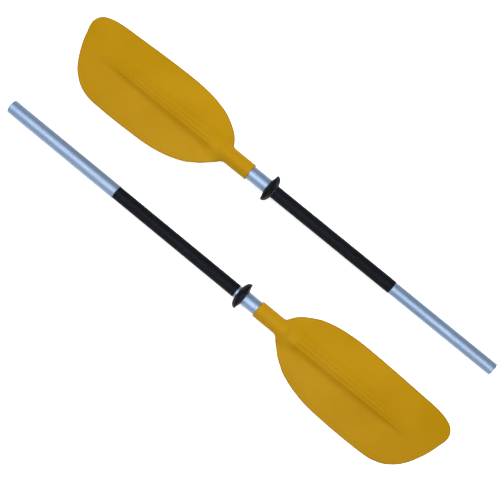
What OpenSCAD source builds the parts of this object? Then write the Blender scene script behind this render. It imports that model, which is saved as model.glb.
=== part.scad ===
/* [Shaft] */
// Outside diameter of the aluminium shaft tube
tube_d = 28; // [27:0.5:28]
// Wall thickness of the shaft tube
tube_wall = 1.4; // [1:0.1:2]
// Outside diameter of the silver sleeve between drip ring and blade socket
neck_d = 32; // [31.5:0.1:32]
// Outside diameter of the joint sleeve on the female half
sleeve_d = 31; // [30.5:0.5:32]
// Radial clearance between the plug-in tube and the joint sleeve
joint_gap = 0.05; // [0.02:0.01:0.1]
// Thickness of the black grip sleeve
grip_wall = 0.7; // [0.4:0.1:1.2]
// Distance between the two halves' shaft axes as they lie side by side
lane_gap = 212; // [208:1:226]

/* [Lengths] */
// Bare silver length at the male half's joint end
bare_left = 267; // [250:1:290]
// Length of the joint sleeve, from its mouth to the female half's grip
bare_right = 289; // [270:1:300]
// Length of the male half's black grip
grip_left = 318; // [300:1:340]
// Length of the female half's black grip
grip_right = 327; // [300:1:340]
// Length from the male half's grip to the mouth of its blade socket
neck_left = 65; // [60:1:80]
// Length from the female half's grip to the mouth of its blade socket
neck_right = 57; // [54:1:80]
// Length of the blade socket up to the blade's shoulder
socket_l = 65; // [60:1:70]
// Depth to which the male tube goes into the joint sleeve
plug_depth = 130; // [110:1:140]

/* [Drip ring] */
// Outside diameter of the rubber drip ring
ring_d = 63; // [63:0.5:66]
// Axial length of the drip ring
ring_l = 17.5; // [17:0.5:20]
// Axial length of the drip ring's hub
ring_hub = 8; // [6:0.5:9]
// Gap between the male half's drip ring and its grip
ring_gap_left = 0.5; // [0.3:0.1:5]
// Gap between the female half's drip ring and its grip
ring_gap_right = 4.5; // [1:0.5:8]

/* [Blade] */
// Outside diameter of the blade socket
socket_d = 38; // [37:0.5:40]
// How far the tip drops below the shaft's axis
tip_drop = 28; // [10:0.5:28]
// How far the long edges drop below the spine
edge_drop = 9; // [4:0.5:9]
// Half of the blade's thickness at its edge
edge_half = 1.2; // [1:0.1:1.5]
// Steps between two neighbouring outline stations
blade_steps = 2; // [1:1:3]

/* [Snap button] */
// Diameter of the snap button
button_d = 8; // [6:0.5:8]
// Distance from the male end to the snap button
button_at = 90; // [70:1:100]
// How far the button stands out of the tube
button_out = 4.5; // [4:0.1:5]
// Angle between neighbouring feather holes
feather = 60; // [45:5:60]

/* [Hidden] */
$fn = 96;

// Each half is drawn with its joint end at low X and its blade at high X,
// with the shaft's axis on the X axis, and is then put in its lane.
// The male half is turned end for end: its blade is the mirror image of the other.
tube_r = tube_d / 2;
bore_r = tube_r - tube_wall;
neck_r = neck_d / 2;
sleeve_r = sleeve_d / 2;
joint_r = tube_r + joint_gap;
grip_r = tube_r + grip_wall;
ring_r = ring_d / 2;
socket_r = socket_d / 2;
axis_z = 31.5;
shoulder = 162;                   // blade starts
socket_x = shoulder - socket_l;   // socket's mouth
end_left = socket_x - neck_left;       // male half's grip ends
end_right = socket_x - neck_right;     // female half's grip ends
male_x = end_left - grip_left - bare_left;        // male half's joint end
mouth_x = end_right - grip_right - bare_right;    // female half's joint end
tube_end = shoulder + 7;          // tube's end inside the socket
blade_l = 414.5;
tip_x = shoulder + blade_l;
shift_x = -(min(mouth_x, -tip_x) + max(tip_x, -male_x)) / 2; // centres the two halves lengthwise
side_shift = 6.25;                // half the difference between the blade's two sides
left_y = lane_gap / 2 + side_shift;
right_y = -lane_gap / 2 + side_shift;
hole_x = male_x + button_at;      // button, from the male end
feather_x = mouth_x + plug_depth - button_at; // feather holes, from the mouth
core_x = mouth_x + 150;           // the female half's shaft tube starts here
rivet_xs = [shoulder - 38, shoulder - 13];

// Blade outline: distance past the shoulder, long side, short side.
outline = [
  [-6, 17.5, 17.5], [0, 27, 23], [8, 37, 32], [18, 46, 41], [30, 54, 52],
  [45, 62.5, 62], [60, 69, 71], [90, 77, 82], [120, 81, 89], [150, 83, 93],
  [200, 83, 95], [250, 82, 95.5], [300, 80.5, 94], [322, 80, 90],
  [342, 79.5, 82], [360, 78.5, 69], [372, 77, 56.5], [384, 74.5, 38.5],
  [396, 70.5, 15], [403, 66.5, -2], [408, 61.5, -18], [411, 57, -26.5],
  [413, 52.5, -33], [414.5, 47, -39]
];
spine_top = [[-6, 15], [0, 15], [20, 13], [32, 11], [50, 9], [80, 7.4], [120, 6.4], [260, 5.6], [300, 4.4], [330, 2.6], [372, 0], [420, 0]];
spine_w = [[-6, 17], [20, 22], [50, 25], [150, 24], [250, 21], [375, 14], [420, 14]];
spine_low = [[-6, 15], [0, 15], [25, 10], [50, 5], [85, 0], [420, 0]];

// A smooth curve through a list of points, at a fractional index.
function knot(l, i) = l[min(max(i, 0), len(l) - 1)];
function smooth_at(l, t) =
  let (i = floor(t), u = t - i,
       a = knot(l, i - 1), b = knot(l, i), c = knot(l, i + 1), d = knot(l, i + 2))
  b + u * (c - a) / 2
    + u * u * (a - 2.5 * b + 2 * c - d / 2)
    + u * u * u * (-a / 2 + 1.5 * b - 1.5 * c + d / 2);
function ease(u) = let (v = min(max(u, 0), 1)) (1 + cos(180 * v)) / 2;
function ridge(y, w, crest) = ease((abs(y) - crest) / (w - crest));

function mid_z(d, y) =
  let (s = max(d, 0))
  -tip_drop * pow(s / 418, 2) - edge_drop * pow(y / 90, 2) * (1 - ease(s / 90));
function half_t(d, y, lo, hi) =
  let (e = min(y - lo, hi - y))
  edge_half + 0.8 * (1 - ease(e / 12));
function top_z(d, y, lo, hi) =
  mid_z(d, y) + half_t(d, y, lo, hi) + lookup(d, spine_top) * ridge(y, lookup(d, spine_w), 2);
function low_z(d, y, lo, hi) =
  mid_z(d, y) - half_t(d, y, lo, hi) - lookup(d, spine_low) * ridge(y, lookup(d, spine_w), 2);

// The places across the blade where the surface is sampled: both wings and the spine.
wing_n = 6;
ridge_n = 8;
function across(lo, hi, w) =
  let (c = min(max(0, lo + 0.3 * (hi - lo)), hi - 0.3 * (hi - lo)),
       h = min(w, 0.25 * (hi - lo)))
  concat(
    [for (k = [0 : wing_n - 1]) lo + (c - h - lo) * k / wing_n],
    [for (k = [0 : ridge_n]) c - h + 2 * h * k / ridge_n],
    [for (k = [1 : wing_n]) c + h + (hi - c - h) * k / wing_n]
  );

module blade_plate() {
  stations = (len(outline) - 1) * blade_steps;
  rows = [for (i = [0 : stations]) smooth_at(outline, i / blade_steps)];
  n = wing_n * 2 + ridge_n + 1;
  m = len(rows);
  tops = [for (r = rows) let (ys = across(-r[2], r[1], lookup(r[0], spine_w)))
           for (y = ys) [r[0], y, top_z(r[0], y, -r[2], r[1])]];
  lows = [for (r = rows) let (ys = across(-r[2], r[1], lookup(r[0], spine_w)))
           for (y = ys) [r[0], y, low_z(r[0], y, -r[2], r[1])]];
  t = function (i, j) i * n + j;
  b = function (i, j) m * n + i * n + j;
  faces = concat(
    [for (i = [0 : m - 2]) for (j = [0 : n - 2]) each [
      [t(i, j), t(i + 1, j + 1), t(i + 1, j)], [t(i, j), t(i, j + 1), t(i + 1, j + 1)],
      [b(i, j), b(i + 1, j), b(i + 1, j + 1)], [b(i, j), b(i + 1, j + 1), b(i, j + 1)]]],
    [for (i = [0 : m - 2]) each [
      [t(i, 0), t(i + 1, 0), b(i + 1, 0)], [t(i, 0), b(i + 1, 0), b(i, 0)],
      [t(i, n - 1), b(i + 1, n - 1), t(i + 1, n - 1)], [t(i, n - 1), b(i, n - 1), b(i + 1, n - 1)]]],
    [for (j = [0 : n - 2]) each [
      [t(0, j), b(0, j), b(0, j + 1)], [t(0, j), b(0, j + 1), t(0, j + 1)],
      [t(m - 1, j), b(m - 1, j + 1), b(m - 1, j)], [t(m - 1, j), t(m - 1, j + 1), b(m - 1, j + 1)]]]
  );
  translate([shoulder, 0, 0]) polyhedron(points = concat(tops, lows), faces = faces, convexity = 6);
}

// Lays a shape drawn around the Z axis along +X, starting at x.
module along(x) { translate([x, 0, 0]) rotate([0, 90, 0]) children(); }
module pipe(x, l, ro, ri) {
  along(x) difference() {
    cylinder(r = ro, h = l);
    translate([0, 0, -1]) cylinder(r = ri, h = l + 2);
  }
}
// A drill pointing out of the shaft's underside, turned by a about the shaft.
module drill(x, r, from, to, a = 0) {
  rotate([a, 0, 0]) translate([x, 0, -to]) cylinder(r = r, h = to - from, $fn = 48);
}
module right_place() { translate([shift_x, right_y, axis_z]) children(); }
module left_place() { translate([shift_x, left_y, axis_z]) mirror([1, 0, 0]) children(); }

module blade_body() {
  difference() {
    union() {
      blade_plate();
      // socket with a rounded end that runs out into the spine
      along(socket_x) rotate_extrude() polygon(concat(
        [[0, 0], [socket_r - 1, 0], [socket_r - 0.3, 0.3], [socket_r, 1], [socket_r, socket_l]],
        [for (k = [1 : 7]) [socket_r * cos(k * 90 / 7) , socket_l + 26 * sin(k * 90 / 7)]],
        [[0, 0]]));
    }
    along(socket_x - 1) cylinder(r = neck_r + 0.05, h = socket_l + 9);
    for (x = rivet_xs) drill(x, 2.05, 10, 24);
  }
}
module neck_body(grip_end) {
  difference() {
    pipe(grip_end + 17, shoulder + 5 - grip_end - 17, neck_r, tube_r + 0.03);
    for (x = rivet_xs) drill(x, 2.05, 10, 24);
  }
}
// Saucer with a domed side towards the grip, recessed to slip over the neck sleeve.
module ring_body(x) {
  along(x) rotate_extrude() polygon([
    [tube_r + 0.08, 0], [17, 0], [19, 0.6], [23, 2.1], [26.8, 4.3],
    [ring_r - 2, 7], [ring_r - 0.7, 10], [ring_r, 12.6], [ring_r, 13.4], [ring_r - 0.6, 14],
    [27, 14.6], [22, 15.8], [18.5, ring_l - 0.4], [17.8, ring_l], [neck_r + 0.4, ring_l],
    [neck_r + 0.4, ring_hub], [tube_r + 0.08, ring_hub]]);
}
module grip_body(grip_end, l) { pipe(grip_end - l + 0.3, l - 0.3, grip_r, tube_r + 0.02); }
module rivet(x, out, a = 0) {
  rotate([a, 0, 0]) translate([x, 0, 0]) {
    translate([0, 0, -out - 0.1]) cylinder(r = 2, h = out + 0.1 - bore_r + 0.9, $fn = 48);
    translate([0, 0, -out - 0.05]) mirror([0, 0, 1]) cylinder(r1 = 4, r2 = 2.4, h = 1.2, $fn = 48);
    translate([0, 0, -bore_r + 0.4]) cylinder(r = 3, h = 1, $fn = 48);
  }
}
// A strip of sheet metal, bent along a path in the XZ plane, w wide and 2 * t thick.
function across_of(a, b) = let (v = (b - a) / norm(b - a)) [-v[1], v[0]];
function corner_of(path, i) =
  i == 0 ? across_of(path[0], path[1])
  : i == len(path) - 1 ? across_of(path[i - 1], path[i])
  : let (a = across_of(path[i - 1], path[i]), s = a + across_of(path[i], path[i + 1])) s / (s * a);
module strip(path, w, t) {
  n = len(path) - 1;
  translate([0, w / 2, 0]) rotate([90, 0, 0]) linear_extrude(height = w) polygon(concat(
    [for (i = [0 : n]) path[i] + t * corner_of(path, i)],
    [for (i = [n : -1 : 0]) path[i] - t * corner_of(path, i)]));
}

module left_blade() { color("#bb8c16") left_place() blade_body(); }
module left_neck_sleeve() { color("#b0c8ea") left_place() neck_body(end_left); }
module left_shaft_tube() {
  color("#a8bcd8") left_place() difference() {
    pipe(male_x, tube_end - male_x, tube_r, bore_r);
    drill(hole_x, button_d / 2 + 0.08, 5, 24);
    for (x = rivet_xs) drill(x, 2.05, 10, 24);
  }
}
module left_grip() { color("#15161c") left_place() grip_body(end_left, grip_left); }
module left_drip_ring() { color("#101218") left_place() ring_body(end_left + ring_gap_left); }
module left_blade_rivets() { color("#c0c4c8") left_place() for (x = rivet_xs) rivet(x, socket_r); }
module left_float_plugs() {
  color("#f0f0ea") left_place() for (x = [-100, 50]) along(x) cylinder(r = bore_r - 0.3, h = 60);
}
module snap_button() {
  color("#c8ccd0") left_place() translate([hole_x, 0, 0]) {
    translate([0, 0, -tube_r - button_out + 1.5]) cylinder(r = button_d / 2, h = tube_r + button_out - 1.5 - 10, $fn = 64);
    translate([0, 0, -tube_r - button_out]) cylinder(r1 = button_d / 2 - 1.5, r2 = button_d / 2, h = 1.5, $fn = 64);
    translate([0, 0, -bore_r + 1.6]) cylinder(r = button_d / 2 + 1.5, h = 1.2, $fn = 64);
  }
}
module button_spring() {
  color("#9aa0a6") left_place() translate([hole_x, 0, 0]) {
    strip([[-7, -9.3], [8, -9.3], [30, -4.2], [44, 0], [50, 2.2], [53, 4.2], [53.4, 5.8], [51, 7.3], [44, 8.3], [8, 11.4], [-7, 11.4]], 7, 0.35);
  }
}

module right_blade() { color("#bb8c16") right_place() blade_body(); }
module right_neck_sleeve() { color("#b0c8ea") right_place() neck_body(end_right); }
module right_shaft_tube() {
  color("#a8bcd8") right_place() difference() {
    pipe(core_x, tube_end - core_x, tube_r, bore_r);
    for (x = rivet_xs) drill(x, 2.05, 10, 24);
    for (a = [-40, 40]) drill(core_x + 9, 2.05, 10, 24, a);
  }
}
module right_grip() { color("#15161c") right_place() grip_body(end_right, grip_right); }
module right_drip_ring() { color("#101218") right_place() ring_body(end_right + ring_gap_right); }
module right_blade_rivets() { color("#c0c4c8") right_place() for (x = rivet_xs) rivet(x, socket_r); }
// The joint's bore ends in a shallow relief groove, in front of the female half's tube.
module joint_sleeve() {
  color("#a8bcd8") right_place() difference() {
    along(mouth_x) rotate_extrude() polygon([
      [joint_r + 0.5, 0], [sleeve_r - 0.5, 0], [sleeve_r, 0.5], [sleeve_r, bare_right],
      [tube_r + 0.03, bare_right], [tube_r + 0.03, 152], [tube_r + 0.5, 152], [tube_r + 0.5, 149.5],
      [joint_r, 149.5], [joint_r, 0.5]]);
    for (a = [-feather, 0, feather]) drill(feather_x, button_d / 2 + 0.2, 5, 24, a);
    for (a = [-40, 40]) drill(core_x + 9, 2.05, 10, 24, a);
  }
}
module sleeve_rivets() { color("#c0c4c8") right_place() for (a = [-40, 40]) rivet(core_x + 9, sleeve_r, a); }
module float_plug_outer() { color("#f0f0ea") right_place() along(core_x + 20) cylinder(r = bore_r - 0.3, h = 60); }
module float_plug_inner() { color("#f0f0ea") right_place() along(50) cylinder(r = bore_r - 0.3, h = 60); }

left_blade();
left_neck_sleeve();
left_shaft_tube();
left_grip();
left_drip_ring();
left_blade_rivets();
left_float_plugs();
snap_button();
button_spring();
right_blade();
right_neck_sleeve();
right_shaft_tube();
right_grip();
right_drip_ring();
right_blade_rivets();
joint_sleeve();
sleeve_rivets();
float_plug_outer();
float_plug_inner();
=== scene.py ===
import bpy, bmesh, math
import numpy as np
from mathutils import Vector, Matrix


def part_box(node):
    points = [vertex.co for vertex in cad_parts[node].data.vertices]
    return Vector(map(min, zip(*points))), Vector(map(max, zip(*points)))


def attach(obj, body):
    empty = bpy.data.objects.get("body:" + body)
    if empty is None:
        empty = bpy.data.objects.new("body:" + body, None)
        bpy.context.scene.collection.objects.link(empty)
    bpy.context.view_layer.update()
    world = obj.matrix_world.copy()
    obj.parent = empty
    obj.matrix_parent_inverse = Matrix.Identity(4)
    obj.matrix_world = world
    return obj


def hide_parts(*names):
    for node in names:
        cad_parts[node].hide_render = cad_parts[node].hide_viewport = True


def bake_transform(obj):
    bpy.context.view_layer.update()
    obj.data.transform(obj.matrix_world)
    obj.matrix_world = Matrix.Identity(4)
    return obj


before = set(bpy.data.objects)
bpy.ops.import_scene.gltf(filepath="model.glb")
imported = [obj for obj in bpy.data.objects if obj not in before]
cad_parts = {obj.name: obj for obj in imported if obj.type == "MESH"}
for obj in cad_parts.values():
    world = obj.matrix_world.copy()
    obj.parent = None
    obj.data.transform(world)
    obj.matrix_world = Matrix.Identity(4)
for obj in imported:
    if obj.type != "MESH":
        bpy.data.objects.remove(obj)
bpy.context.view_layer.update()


# ---------------------------------------------------------------- where things are
MM = 0.001
AXIS_Z = sum(c[2] for c in (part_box("right_shaft_tube")[0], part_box("right_shaft_tube")[1])) / 2
RIGHT_Y = sum(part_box("right_shaft_tube")[i][1] for i in (0, 1)) / 2
LEFT_Y = sum(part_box("left_shaft_tube")[i][1] for i in (0, 1)) / 2
SHIFT_X = (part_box("left_blade")[0][0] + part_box("right_blade")[1][0]) / 2  # the blades are mirrored about this


def to_right(p):
    return (SHIFT_X + p[0], RIGHT_Y + p[1], AXIS_Z + p[2])


def to_left(p):
    return (SHIFT_X - p[0], LEFT_Y + p[1], AXIS_Z + p[2])


SOCKET_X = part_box("right_blade")[0][0] - SHIFT_X           # socket mouth, in a half's own frame
SHOULDER = SOCKET_X + 65 * MM


def span(name):
    """Where a piece starts and ends along its half, joint end first."""
    lo, hi = (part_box(name)[i][0] - SHIFT_X for i in (0, 1))
    return (lo, hi) if name.startswith("right") else (-hi, -lo)


# ---------------------------------------------------------------- mesh helpers
def make(name, verts, faces, place, flip, body, replaced):
    """One smooth-shaded piece from points in a half's own frame."""
    if flip:
        faces = [tuple(reversed(f)) for f in faces]
    me = bpy.data.meshes.new(name)
    me.from_pydata([place(v) for v in verts], [], faces)
    bm = bmesh.new()
    bm.from_mesh(me)
    bmesh.ops.recalc_face_normals(bm, faces=bm.faces)
    bm.to_mesh(me)
    bm.free()
    me.update()
    me.shade_smooth()
    ob = bpy.data.objects.new(name, me)
    bpy.context.scene.collection.objects.link(ob)
    if body:
        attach(ob, body)
    if replaced:
        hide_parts(replaced)
    return ob


def grid_faces(rows, cols, wrap):
    faces = []
    for i in range(rows - 1):
        for j in range(cols if wrap else cols - 1):
            k = (j + 1) % cols
            faces.append((i * cols + j, i * cols + k, (i + 1) * cols + k, (i + 1) * cols + j))
    return faces


def lathe(profile, steps, ripple=None):
    """Turns a closed (x, r) profile about the shaft's axis. ripple(angle, k) changes a radius."""
    verts, n = [], len(profile)
    for s in range(steps):
        a = 2 * math.pi * s / steps
        for k, (x, r) in enumerate(profile):
            q = r + (ripple(a, k) if ripple else 0.0)
            verts.append((x, q * math.cos(a), q * math.sin(a)))
    faces = []
    for s in range(steps):
        t = (s + 1) % steps
        for k in range(n):
            m = (k + 1) % n
            faces.append((s * n + k, s * n + m, t * n + m, t * n + k))
    return verts, faces


def rounded(points, radius, steps=5):
    """A closed polyline with each corner replaced by a small arc; radius may be a list."""
    out, n = [], len(points)
    for i, p in enumerate(points):
        r = radius[i] if isinstance(radius, (list, tuple)) else radius
        p = np.array(p, float)
        a, b = np.array(points[i - 1], float), np.array(points[(i + 1) % n], float)
        if r <= 0:
            out.append(tuple(p))
            continue
        da, db = a - p, b - p
        r1 = min(r, 0.45 * np.linalg.norm(da), 0.45 * np.linalg.norm(db))
        pa, pb = p + da / np.linalg.norm(da) * r1, p + db / np.linalg.norm(db) * r1
        for s in range(steps + 1):
            t = s / steps
            out.append(tuple((1 - t) ** 2 * pa + 2 * t * (1 - t) * p + t * t * pb))
    return out


# ---------------------------------------------------------------- blade
OUTLINE = np.array([
    [-65, 19, 19], [-60, 19, 19], [-50, 19, 19], [-35, 19, 19], [-20, 19, 19], [-12, 19, 19],
    [-7, 19.3, 19.2], [-3, 21.8, 20.4], [0, 26.2, 23], [8, 37, 32], [18, 46, 41], [30, 54, 52],
    [45, 62.5, 62], [60, 69, 71], [90, 77, 82], [120, 81, 89], [150, 83, 93],
    [200, 83, 95], [250, 82, 95.5], [300, 80.5, 94], [322, 80, 90],
    [342, 79.5, 82], [360, 78.5, 69], [372, 77, 56.5], [384, 74.5, 38.5],
    [396, 70.5, 15], [403, 66.5, -2], [408, 61.5, -18], [411, 57, -26.5],
    [413, 52.5, -33], [414.3, 47, -39],
])
TIP_DROP, EDGE_DROP, EDGE_HALF, SOCKET_R = 28.0, 9.0, 1.2, 19.0


def catmull(points, steps):
    out, n = [], len(points)
    for i in range(n - 1):
        a, b, c, d = points[max(i - 1, 0)], points[i], points[i + 1], points[min(i + 2, n - 1)]
        m = steps[i]
        for k in range(m):
            u = k / m
            out.append(b + u * (c - a) / 2 + u * u * (a - 2.5 * b + 2 * c - d / 2)
                       + u ** 3 * (-a / 2 + 1.5 * b - 1.5 * c + d / 2))
    out.append(points[-1])
    return np.array(out)


def table(d, pairs):
    xs, ys = zip(*pairs)
    return np.interp(d, xs, ys)


def ease(u):
    return (1 + np.cos(np.pi * np.clip(u, 0, 1))) / 2


def step(u):
    u = np.clip(u, 0, 1)
    return u * u * (3 - 2 * u)


def blade_mesh():
    gaps = np.diff(OUTLINE[:, 0])
    rows = catmull(OUTLINE, [max(4, int(round(g / (0.4 if x < -60.5 else 2.0)))) for g, x in zip(gaps, OUTLINE[:, 0])])
    d = rows[:, 0]
    slope_hi = np.gradient(rows[:, 1], d)
    slope_lo = np.gradient(rows[:, 2], d)
    nw, ns = 24, 84
    side = 1 - np.cos(np.linspace(0, 1, nw + 1) * np.pi / 2)   # fine near the edge
    t = np.linspace(-1, 1, ns + 1)
    tops, lows, edge, painted_shade_rows = [], [], [], []
    for i, (x, hi, short) in enumerate(rows):
        lo = -short
        w = min(23.0, 0.27 * (hi - lo)) if x > 0 else SOCKET_R - 0.6
        c = min(max(0.0, lo + 0.32 * (hi - lo)), hi - 0.32 * (hi - lo))
        w = min(w, c - lo - 0.15, hi - c - 0.15)
        even = float(step(x / 30))
        w = max(w, min(30.0, c - lo - 4, hi - c - 4)) if x > 8 else w
        ys = np.concatenate([
            lo + (c - w - lo) * side[:-1],
            c + w * ((1 - even) * np.sin(t * np.pi / 2) + even * t),
            (hi - (hi - c - w) * side[::-1])[1:],
        ])
        s = max(x, 0.0)
        reach = 1 - ease(s / 90)
        mid = -TIP_DROP * (s / 418) ** 2 - EDGE_DROP * (ys / 90) ** 2 * reach
        # true distance from the outline, which gives the rounded rim
        e = np.minimum((ys - lo) / math.hypot(1, slope_lo[i]), (hi - ys) / math.hypot(1, slope_hi[i]))
        if x > 380:
            e = np.minimum(e, (415.2 - x) * 1.1 + 0.2)
        e = np.clip(e, 0, None)
        half = EDGE_HALF + 0.9 * (1 - ease(e / 14)) + 0.35 * ease(abs(e - 3.2) / 3.0)
        rim = np.sqrt(np.clip(1 - (1 - np.clip(e / (EDGE_HALF * 1.25), 0, 1)) ** 2, 0, 1))
        plate = float(step((x + 12) / 22))
        half = half * rim * plate
        # the socket is round; past the shoulder it flattens into a broad hump
        power = table(x, [(-12, 0.5), (-4, 0.62), (8, 1.3), (18, 2.0), (60, 2.2)])
        wide = table(x, [(-12, 19), (-4, 20.5), (0, 23), (8, 31), (18, 38), (30, 40), (60, 36), (120, 28)])
        u = np.clip(abs(ys) / wide, 0, 1)
        hump = (1 - u * u) ** power
        rise = table(x, [(-12, 19), (0, 18.0), (8, 16.4), (20, 10.8), (32, 6.6), (50, 3.4), (80, 1.6), (120, 0.6), (170, 0)])
        under = table(x, [(-12, 19), (0, 18.0), (8, 17.0), (20, 12.4), (45, 6.8), (70, 2.8), (95, 0.7), (115, 0)])
        # the rib that carries on to the tip: gentle on one side, a lip and a longer fall on the other,
        # and two shallow grooves along its top
        k = table(x, [(0, 1.15), (60, 1.0), (150, 0.97), (250, 0.85), (370, 0.62)])
        y = ys / k
        high = 5.8 * float(step((x - 12) / 34)) * (float(ease((x - 260) / 112)) if x > 260 else 1.0)
        fall = np.clip((-y - 9.5) / 20.0, 0, 1)
        rib = np.where(y > 0, 1 - step((y - 6) / 22), (1 - fall) ** 2.3)
        line = 1.35 * float(step((x - 26) / 26)) * (float(ease((x - 285) / 80)) if x > 285 else 1.0)
        rib = high * rib - line * (np.exp(-((y - 6.8) / 2.3) ** 2) + 1.2 * np.exp(-((y + 4.0) / 2.5) ** 2))
        if x < -62:
            rise = under = 19 - 0.9 * (
                1 - math.sqrt(max(0.0, 1 - max(0.0, (-63.8 - x) / 1.2) ** 2)))
        # painted shade: the amber is darkened along the grooves and the long fall, standing in for their shading
        painted_shade = 0.22 * float(step((x - 26) / 26)) * (float(ease((x - 285) / 85)) if x > 285 else 1.0) * (
            np.exp(-((y - 6.8) / 2.6) ** 2) + np.exp(-((y + 4.2) / 2.6) ** 2))
        painted_shade = painted_shade + 0.5 * float(step((x - 14) / 40)) * (float(ease((x - 290) / 90)) if x > 290 else 1.0) * (
            np.where(y < -14, np.exp(-((y + 14) / 9.5) ** 2), np.exp(-((y + 14) / 4.0) ** 2)))
        painted_shade_rows.append(painted_shade)
        tops.append(np.stack([np.full_like(ys, x), ys, mid + half + rise * hump + rib], 1))
        lows.append(np.stack([np.full_like(ys, x), ys, mid - half - under * hump], 1))
        edge.append(np.where(x < -4, 9.0, e))
    tops, lows, edge, painted_shade_rows = np.array(tops), np.array(lows), np.array(edge), np.array(painted_shade_rows)
    m, n = tops.shape[:2]
    # one closed ring of points for each station; the two edges share their point
    mid_lo, mid_hi = (tops[:, :1] + lows[:, :1]) / 2, (tops[:, -1:] + lows[:, -1:]) / 2
    ring = np.concatenate([mid_lo, tops[:, 1:-1], mid_hi, lows[:, -2:0:-1]], axis=1)
    ecol = np.concatenate([edge[:, :1], edge[:, 1:-1], edge[:, -1:], edge[:, -2:0:-1]], axis=1)
    # the painted shade goes on the top face only; the underside gets none
    shade_cols = np.concatenate([painted_shade_rows[:, :1], painted_shade_rows[:, 1:-1], painted_shade_rows[:, -1:], 0 * painted_shade_rows[:, -2:0:-1]], axis=1)
    cols = ring.shape[1]
    verts = ring.reshape(-1, 3)
    faces = grid_faces(m, cols, True)
    wear = list(ecol.reshape(-1))
    verts = [tuple(v) for v in verts]
    # the tip closes on one point
    tip = len(verts)
    last = ring[-1].mean(0)
    verts.append((float(last[0]) + 0.5, float(last[1]), float(last[2])))
    wear.append(0.0)
    base = (m - 1) * cols
    for j in range(cols):
        faces.append((base + j, base + (j + 1) % cols, tip))
    # the socket's mouth: a turned-in lip and the blind bore behind it
    prev = list(range(cols))
    ang = [math.atan2(verts[j][2], verts[j][1]) for j in prev]
    for x, r in [(-65.25, 17.6), (-65.2, 16.9), (-64.6, 16.3), (-63.5, 16.12), (8, 16.12)]:
        cur = []
        for a in ang:
            cur.append(len(verts))
            verts.append((x, r * math.cos(a), r * math.sin(a)))
            wear.append(9.0)
        for j in range(cols):
            k = (j + 1) % cols
            faces.append((prev[k], prev[j], cur[j], cur[k]))
        prev = cur
    end = len(verts)
    verts.append((8.0, 0.0, 0.0))
    wear.append(9.0)
    for j in range(cols):
        faces.append((prev[(j + 1) % cols], prev[j], end))
    verts = [(SHOULDER + x * MM, y * MM, z * MM) for x, y, z in verts]
    painted_shade = list(shade_cols.reshape(-1)) + [0.0] * (len(verts) - shade_cols.size)
    return verts, faces, wear, painted_shade


def blade(name, place, flip, body, node):
    verts, faces, wear, painted_shade = blade_mesh()
    ob = make(name, verts, faces, place, flip, body, node)
    att = ob.data.attributes.new("rim", "FLOAT", "POINT")
    att.data.foreach_set("value", [float(max(0.0, 1 - w / 4.0)) for w in wear])
    # per-point strength of the painted shade along the rib's grooves and long fall
    att = ob.data.attributes.new("painted_shade", "FLOAT", "POINT")
    att.data.foreach_set("value", [float(v) for v in painted_shade])
    return ob


# ---------------------------------------------------------------- materials
def nodes_of(name):
    m = bpy.data.materials.new(name)
    m.use_nodes = True
    t = m.node_tree
    t.nodes.clear()
    out = t.nodes.new("ShaderNodeOutputMaterial")
    bsdf = t.nodes.new("ShaderNodeBsdfPrincipled")
    t.links.new(bsdf.outputs[0], out.inputs[0])
    return m, t, bsdf


def srgb(r, g, b):
    """A colour on the 0-255 scale, as linear light."""
    f = lambda c: (c / 255 / 12.92) if c / 255 <= 0.04045 else ((c / 255 + 0.055) / 1.055) ** 2.4
    return (f(r), f(g), f(b), 1.0)


def noise(t, scale, detail=4.0, rough=0.55, stretch=(1, 1, 1)):
    co = t.nodes.new("ShaderNodeTexCoord")
    mp = t.nodes.new("ShaderNodeMapping")
    mp.inputs["Scale"].default_value = stretch
    n = t.nodes.new("ShaderNodeTexNoise")
    n.inputs["Scale"].default_value = scale
    n.inputs["Detail"].default_value = detail
    n.inputs["Roughness"].default_value = rough
    t.links.new(co.outputs["Object"], mp.inputs[0])
    t.links.new(mp.outputs[0], n.inputs["Vector"])
    return n.outputs["Fac"]


def ramp(t, fac, stops):
    r = t.nodes.new("ShaderNodeValToRGB")
    r.color_ramp.elements[0].position, r.color_ramp.elements[0].color = stops[0]
    r.color_ramp.elements[1].position, r.color_ramp.elements[1].color = stops[-1]
    for p, c in stops[1:-1]:
        r.color_ramp.elements.new(p).color = c
    t.links.new(fac, r.inputs[0])
    return r.outputs[0]


def spread(t, fac, lo, hi, a=0.3, b=0.7):
    m = t.nodes.new("ShaderNodeMapRange")
    m.inputs["From Min"].default_value, m.inputs["From Max"].default_value = a, b
    m.inputs["To Min"].default_value, m.inputs["To Max"].default_value = lo, hi
    t.links.new(fac, m.inputs["Value"])
    return m.outputs[0]


def mix(t, fac, a, b):
    m = t.nodes.new("ShaderNodeMix")
    m.data_type = "RGBA"
    for s, v in ((0, fac), (6, a), (7, b)):
        if hasattr(v, "is_output"):
            t.links.new(v, m.inputs[s])
        else:
            m.inputs[s].default_value = v
    return m.outputs[2]


def bump(t, bsdf, height, dist, strength=1.0, under=None):
    b = t.nodes.new("ShaderNodeBump")
    b.inputs["Distance"].default_value = dist
    b.inputs["Strength"].default_value = strength
    t.links.new(height, b.inputs["Height"])
    if under:
        t.links.new(under, b.inputs["Normal"])
    if bsdf:
        t.links.new(b.outputs[0], bsdf.inputs["Normal"])
    return b.outputs[0]


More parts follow.
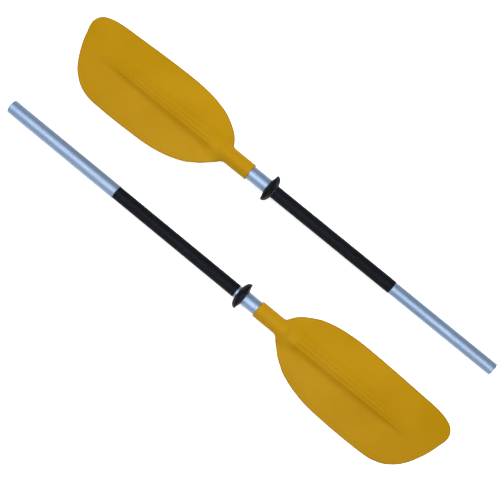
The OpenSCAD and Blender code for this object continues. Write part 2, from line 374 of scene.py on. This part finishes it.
def amber():
    m, t, b = nodes_of("amber_moulded_plastic")
    cloud = noise(t, 9, 3, 0.5)
    fine = noise(t, 420, 3, 0.6)
    base = ramp(t, cloud, [(0.3, srgb(152, 112, 5)), (0.5, srgb(155, 115, 8)), (0.7, srgb(159, 119, 12))])
    speck = noise(t, 70, 5, 0.65)
    base = mix(t, spread(t, speck, 0.0, 0.30, 0.45, 0.75), base, srgb(161, 116, 5))
    rim = t.nodes.new("ShaderNodeAttribute")
    rim.attribute_name = "rim"
    wear = noise(t, 160, 4, 0.7)
    scuff = t.nodes.new("ShaderNodeMath")
    scuff.operation = "MULTIPLY"
    t.links.new(rim.outputs["Fac"], scuff.inputs[0])
    t.links.new(spread(t, wear, 0.25, 0.7, 0.35, 0.65), scuff.inputs[1])
    base = mix(t, scuff.outputs[0], base, srgb(112, 88, 28))
    # painted shade: a darker amber mixed in along the rib's grooves and long fall, mottled by noise
    painted_shade = t.nodes.new("ShaderNodeAttribute")
    painted_shade.attribute_name = "painted_shade"
    painted_shade_mix = t.nodes.new("ShaderNodeMath")
    painted_shade_mix.operation = "MULTIPLY"
    painted_shade_mix.use_clamp = True
    t.links.new(painted_shade.outputs["Fac"], painted_shade_mix.inputs[0])
    t.links.new(spread(t, noise(t, 45, 4, 0.6), 0.42, 0.62), painted_shade_mix.inputs[1])
    base = mix(t, painted_shade_mix.outputs[0], base, srgb(124, 86, 0))
    t.links.new(base, b.inputs["Base Color"])
    t.links.new(spread(t, noise(t, 30, 4, 0.6), 0.44, 0.56), b.inputs["Roughness"])
    b.inputs["IOR"].default_value = 1.5
    b.inputs["Specular IOR Level"].default_value = 0.03
    b.inputs["Subsurface Weight"].default_value = 0.0
    long_scratch = noise(t, 60, 4, 0.6, (0.25, 4, 1))
    n = bump(t, None, long_scratch, 0.0001, 0.25)
    bump(t, b, fine, 0.00008, 0.35, n)
    return m


def aluminium(name="drawn_aluminium", tint=(130, 147, 170)):
    m, t, b = nodes_of(name)
    brush = noise(t, 260, 4, 0.55, (0.02, 1, 1))
    band = noise(t, 26, 3, 0.55, (2.2, 0.3, 0.3))
    cloud = noise(t, 14, 2, 0.5)
    r0, g0, b0 = tint
    base = ramp(t, cloud, [(0.3, srgb(r0 - 3, g0 - 3, b0 - 2)), (0.7, srgb(r0 + 3, g0 + 3, b0 + 3))])
    base = mix(t, spread(t, band, 0.0, 0.2, 0.5, 0.8), base, srgb(r0 - 14, g0 - 14, b0 - 12))
    t.links.new(base, b.inputs["Base Color"])
    b.inputs["Metallic"].default_value = 1.0
    t.links.new(spread(t, brush, 0.59, 0.64), b.inputs["Roughness"])
    bump(t, b, brush, 0.00002, 0.2)
    return m


def grip_black():
    m, t, b = nodes_of("ribbed_grip_sleeve")
    cloud = noise(t, 40, 4, 0.6, (0.3, 1, 1))
    base = ramp(t, cloud, [(0.3, srgb(3, 4, 7)), (0.7, srgb(8, 9, 14))])
    t.links.new(base, b.inputs["Base Color"])
    t.links.new(spread(t, noise(t, 90, 4, 0.6, (0.15, 1, 1)), 0.30, 0.44), b.inputs["Roughness"])
    b.inputs["Specular IOR Level"].default_value = 0.07
    b.inputs["Specular Tint"].default_value = (0.80, 0.87, 1.0, 1)
    fine = noise(t, 900, 3, 0.6, (0.1, 1, 1))
    bump(t, b, fine, 0.00006, 0.3)
    return m


def ring_black():
    m, t, b = nodes_of("drip_ring_rubber")
    base = ramp(t, noise(t, 50, 4, 0.6), [(0.3, srgb(6, 7, 11)), (0.7, srgb(12, 13, 19))])
    t.links.new(base, b.inputs["Base Color"])
    t.links.new(spread(t, noise(t, 120, 4, 0.6), 0.45, 0.62), b.inputs["Roughness"])
    b.inputs["Specular IOR Level"].default_value = 0.06
    bump(t, b, noise(t, 700, 3, 0.6), 0.00008, 0.35)
    return m


def plain_metal(name, tint, rough):
    m, t, b = nodes_of(name)
    base = ramp(t, noise(t, 120, 4, 0.6), [(0.3, srgb(*[c - 12 for c in tint])), (0.7, srgb(*tint))])
    t.links.new(base, b.inputs["Base Color"])
    b.inputs["Metallic"].default_value = 1.0
    t.links.new(spread(t, noise(t, 300, 4, 0.6), rough - 0.06, rough + 0.08), b.inputs["Roughness"])
    bump(t, b, noise(t, 800, 3, 0.6), 0.00004, 0.3)
    return m


def foam():
    m, t, b = nodes_of("closed_cell_foam")
    v = t.nodes.new("ShaderNodeTexVoronoi")
    v.inputs["Scale"].default_value = 700
    co = t.nodes.new("ShaderNodeTexCoord")
    t.links.new(co.outputs["Object"], v.inputs["Vector"])
    base = ramp(t, noise(t, 60, 4, 0.6), [(0.3, srgb(226, 226, 218)), (0.7, srgb(242, 242, 236))])
    t.links.new(base, b.inputs["Base Color"])
    t.links.new(spread(t, noise(t, 200, 2, 0.5), 0.75, 0.9), b.inputs["Roughness"])
    bump(t, b, v.outputs["Distance"], 0.0003, 0.6)
    return m


MAT = {
    "amber": amber(), "alu": aluminium(), "grip": grip_black(), "ring": ring_black(),
    "rivet": plain_metal("rivet_metal", (196, 200, 206), 0.32),
    "button": plain_metal("button_steel", (205, 208, 212), 0.22),
    "spring": plain_metal("spring_steel", (150, 153, 158), 0.3),
    "foam": foam(),
}


def dress(ob, key):
    ob.data.materials.clear()
    ob.data.materials.append(MAT[key])


# ---------------------------------------------------------------- the two halves
HALVES = [
    ("left", to_left, True, "male_half", "male_ring"),
    ("right", to_right, False, "female_half", "female_ring"),
]


def grip_mesh(x0, x1):
    r_out, r_in = 14.7 * MM, 14.03 * MM
    ribs, per = 44, 8
    prof = [(x0, r_in), (x0, r_out - 0.35 * MM), (x0 + 0.25 * MM, r_out - 0.12 * MM), (x0 + 0.7 * MM, r_out)]
    n = 40
    for i in range(1, n):
        prof.append((x0 + 0.7 * MM + (x1 - x0 - 1.4 * MM) * i / n, r_out))
    prof += [(x1 - 0.7 * MM, r_out), (x1 - 0.25 * MM, r_out - 0.12 * MM), (x1, r_out - 0.35 * MM), (x1, r_in)]
    last = len(prof) - 1

    def ripple(a, k):
        if k in (0, last):
            return 0.0
        p = (a * ribs / (2 * math.pi)) % 1.0
        groove = max(0.0, 1 - abs(p - 0.5) / 0.22)
        groove = groove * groove * (3 - 2 * groove)
        return -0.34 * MM * groove
    verts, faces = lathe(prof, ribs * per, ripple)
    return verts, faces


def ring_mesh(x):
    pts = [(0, 14.08), (0, 17), (0.8, 19.6), (2.3, 23.4), (4.4, 27), (7.2, 29.7), (10, 31), (12.6, 31.5),
           (13.5, 31.45), (14.1, 30.7), (14.6, 27), (15.8, 22), (17.1, 18.5), (17.5, 17.8), (17.5, 16.4),
           (8, 16.4), (8, 14.08)]
    rad = [0.4, 1.2, 1.5, 2, 2, 2, 2, 0.8, 0.6, 0.9, 2, 2, 0.6, 0.4, 0.4, 0.4, 0.4]
    prof = rounded([(a * MM, b * MM) for a, b in pts], [r * MM for r in rad], 4)
    prof = [(x + a, b) for a, b in prof]
    return lathe(prof, 144)


for side, place, flip, body, ring_body in HALVES:
    dress(blade(side + "_blade_moulding", place, flip, body, side + "_blade"), "amber")
    v, f = grip_mesh(*span(side + "_grip"))
    dress(make(side + "_ribbed_grip", v, f, place, flip, body, side + "_grip"), "grip")
    v, f = ring_mesh(span(side + "_drip_ring")[0])
    dress(make(side + "_rubber_ring", v, f, place, flip, ring_body, side + "_drip_ring"), "ring")

for name, key in {
    "left_neck_sleeve": "alu", "right_neck_sleeve": "alu", "left_shaft_tube": "alu",
    "right_shaft_tube": "alu", "joint_sleeve": "alu", "left_blade_rivets": "rivet",
    "right_blade_rivets": "rivet", "sleeve_rivets": "rivet", "left_float_plugs": "foam",
    "float_plug_outer": "foam", "float_plug_inner": "foam", "snap_button": "button",
}.items():
    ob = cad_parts[name]
    for s in ob.material_slots:
        s.material = MAT[key]

# The V spring of the snap button, in its rest shape (on the real paddle its lower leaf bends up with the button).
def spring_mesh(hole):
    line = [(-7, -9.3), (8, -9.3), (30, -4.2), (44, 0), (50, 2.2), (53, 4.2), (53.4, 5.8), (51, 7.3),
            (44, 8.3), (8, 11.4), (-7, 11.4)]
    path = [np.array(line[0], float)]
    for a, b in zip(line, line[1:]):
        a, b = np.array(a, float), np.array(b, float)
        n = max(2, int(np.linalg.norm(b - a) / 1.2))
        path += [a + (b - a) * k / n for k in range(1, n + 1)]
    path = np.array(path)
    for _ in range(3):   # ease the corners
        path[1:-1] = 0.25 * path[:-2] + 0.5 * path[1:-1] + 0.25 * path[2:]
    run = np.gradient(path, axis=0)
    run /= np.linalg.norm(run, axis=1)[:, None]
    side = np.stack([-run[:, 1], run[:, 0]], 1)
    section = [(-3.3, -0.17), (3.3, -0.17), (3.45, -0.08), (3.45, 0.08), (3.3, 0.17), (-3.3, 0.17),
               (-3.45, 0.08), (-3.45, -0.08)]
    verts = []
    for p, q in zip(path, side):
        for w, h in section:
            verts.append(((hole + p[0] + q[0] * h) * MM, w * MM, (p[1] + q[1] * h) * MM))
    n, m = len(path), len(section)
    faces = grid_faces(n, m, True)
    faces += [tuple(range(m)), tuple((n - 1) * m + j for j in reversed(range(m)))]
    return verts, faces


BUTTON_X = SHIFT_X - sum(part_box("snap_button")[i][0] for i in (0, 1)) / 2
v, f = spring_mesh(BUTTON_X / MM)
spring = make("v_leaf_spring", v, f, to_left, True, None, "button_spring")
dress(spring, "spring")
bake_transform(spring)

# ---------------------------------------------------------------- floor, light, camera
me = bpy.data.meshes.new("floor")
me.from_pydata([(-6, -6, 0), (6, -6, 0), (6, 6, 0), (-6, 6, 0)], [], [(0, 1, 2, 3)])
floor = bpy.data.objects.new("floor", me)
bpy.context.scene.collection.objects.link(floor)
floor.location.z = -0.0005
fm, ft, fb = nodes_of("pale_floor")
fb.inputs["Base Color"].default_value = (0.93, 0.93, 0.93, 1)
fb.inputs["Roughness"].default_value = 0.9
fb.inputs["Specular IOR Level"].default_value = 0.0
fb.inputs["Emission Color"].default_value = (1, 1, 1, 1)
fb.inputs["Emission Strength"].default_value = 0.6
floor.data.materials.append(fm)

world = bpy.data.worlds.new("studio")
bpy.context.scene.world = world
world.use_nodes = True
world.node_tree.nodes["Background"].inputs[0].default_value = (1, 1, 1, 1)
world.node_tree.nodes["Background"].inputs[1].default_value = 0.42


def area(name, at, aim, size, power, tint=(1, 1, 1)):
    la = bpy.data.lights.new(name, "AREA")
    la.shape = "RECTANGLE"
    la.size, la.size_y = size
    la.energy = power
    la.color = tint
    o = bpy.data.objects.new(name, la)
    o.location = at
    o.rotation_mode = "QUATERNION"
    o.rotation_quaternion = (Vector(aim) - Vector(at)).to_track_quat("-Z", "Y")
    bpy.context.scene.collection.objects.link(o)
    return o


key = area("key", (-0.06, 0.58, 2.55), (0, 0, 0), (2.2, 1.3), 84.5, (0.94, 0.98, 1.0))
fill = area("fill", (-0.3, -1.5, 2.2), (0, 0, 0), (2.2, 1.4), 14)
gloss = area("gloss", (-0.1, -0.55, 2.5), (0, 0, 0), (3.8, 1.15), 126, (0.94, 0.98, 1.0))
key.visible_glossy = fill.visible_glossy = False   # the strip alone gives the shine
gloss.visible_diffuse = False

cam_data = bpy.data.cameras.new("camera")
cam_data.sensor_width = 36
cam = bpy.data.objects.new("camera", cam_data)
bpy.context.scene.collection.objects.link(cam)
bpy.context.scene.camera = cam
CAM_AT = (0.09619, -0.16862, 1.85133)
CAM_ROWS = [[0.772739, -0.632836, 0.048911], [0.634538, 0.768352, -0.083649], [0.015355, 0.095675, 0.995294]]
cam_data.lens = 62.891
cam.location = CAM_AT
cam.rotation_mode = "QUATERNION"
cam.rotation_quaternion = Matrix(CAM_ROWS).to_quaternion()
cam_data.clip_start, cam_data.clip_end = 0.02, 50

sc = bpy.context.scene
sc.view_settings.view_transform = "Standard"
sc.view_settings.look = "None"
